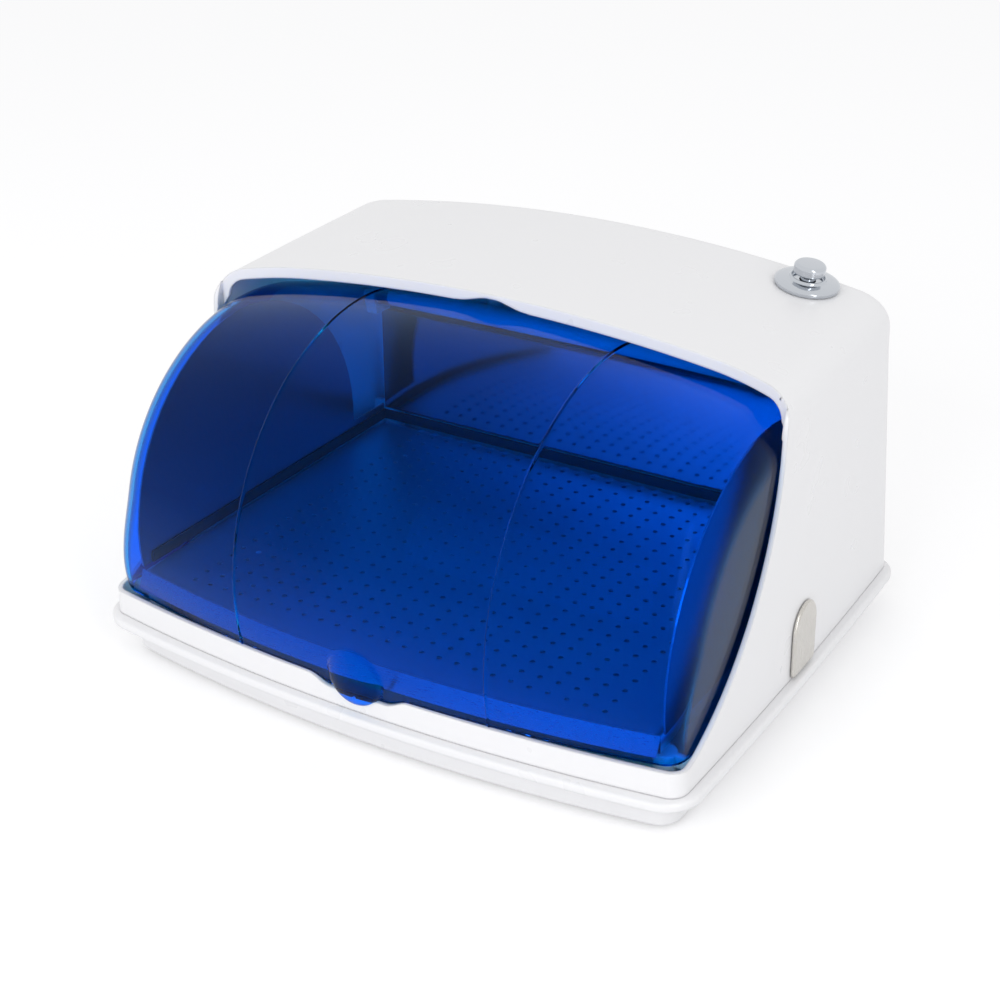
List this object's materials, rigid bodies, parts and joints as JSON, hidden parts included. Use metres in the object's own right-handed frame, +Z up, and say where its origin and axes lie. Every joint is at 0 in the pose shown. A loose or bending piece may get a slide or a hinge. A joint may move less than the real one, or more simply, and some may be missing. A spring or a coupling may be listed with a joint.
{
  "type": "ultraviolet sterilizer cabinet",
  "caption": "Desktop ultraviolet cabinet: shallow tray, crowned white housing, tinted door that turns up and back under the roof, perforated floor, tube lamp and roof button.",
  "frame": {"origin": "centre of the cabinet's footprint, on the plane its feet stand on", "axes": "+Z up, front and door towards -Y, +X to the right as seen from the front"},
  "size_m": [0.364, 0.3014, 0.2164],
  "materials": {
    "white_plastic": "moulded, satin gloss",
    "blue_acrylic": "clear blue tint, polished",
    "bright_steel": "bright rolled sheet",
    "chrome": "polished plate",
    "zinc_steel": "zinc plated",
    "black_plastic": "fine texture",
    "rubber": "moulded",
    "nylon": "natural moulded",
    "lamp_glass": "clear quartz",
    "aluminium": "pressed"
  },
  "bodies": {
    "cabinet": {"base_tray": "white_plastic", "foot_front_left": "rubber", "foot_rear_left": "rubber", "foot_front_right": "rubber", "foot_rear_right": "rubber", "upper_housing": "white_plastic", "housing_screw_front_left": "zinc_steel", "housing_screw_rear_left": "zinc_steel", "housing_screw_front_right": "zinc_steel", "housing_screw_rear_right": "zinc_steel", "pivot_screw_left": "zinc_steel", "pivot_screw_right": "zinc_steel", "chamber_floor": "bright_steel", "chamber_cheek_left": "bright_steel", "chamber_cheek_right": "bright_steel", "rear_panel": "bright_steel", "lamp_reflector": "bright_steel", "reflector_screw_left": "zinc_steel", "reflector_screw_right": "zinc_steel", "lamp_tube": "lamp_glass", "lamp_cap_left": "aluminium", "lamp_cap_right": "aluminium", "lamp_socket_left": "nylon", "lamp_socket_right": "nylon", "button_bezel": "chrome", "switch_body": "black_plastic", "switch_nut": "zinc_steel", "side_clip": "chrome", "interlock_switch": "black_plastic", "ballast": "zinc_steel", "starter": "aluminium", "starter_holder": "nylon", "terminal_block": "nylon", "cord_bush": "black_plastic"},
    "door": {"door_shell": "blue_acrylic", "pivot_bush_left": "nylon", "pivot_bush_right": "nylon"},
    "power_button": {"button_cap": "chrome"},
    "door_plunger": {"interlock_plunger": "nylon"}
  },
  "joints": [
    {"name": "door_hinge", "type": "hinge", "parent": "cabinet", "child": "door", "pos_m": [0, -0.0194, 0.0696], "axis": [-1, 0, 0], "range_deg": [0, 75]},
    {"name": "button_press", "type": "slide", "parent": "cabinet", "child": "power_button", "axis": [-0.136, 0.0337, -0.9901], "range_m": [0, 0.003], "stiffness_N_per_m": 400, "springref_m": -0.002},
    {"name": "plunger_slide", "type": "slide", "parent": "cabinet", "child": "door_plunger", "axis": [0, 0, 1], "range_m": [0, 0.002]}
  ],
  "couplings": [
    {"joint": "plunger_slide", "follows": "door_hinge", "m_per_rad": 0.0015}
  ]
}
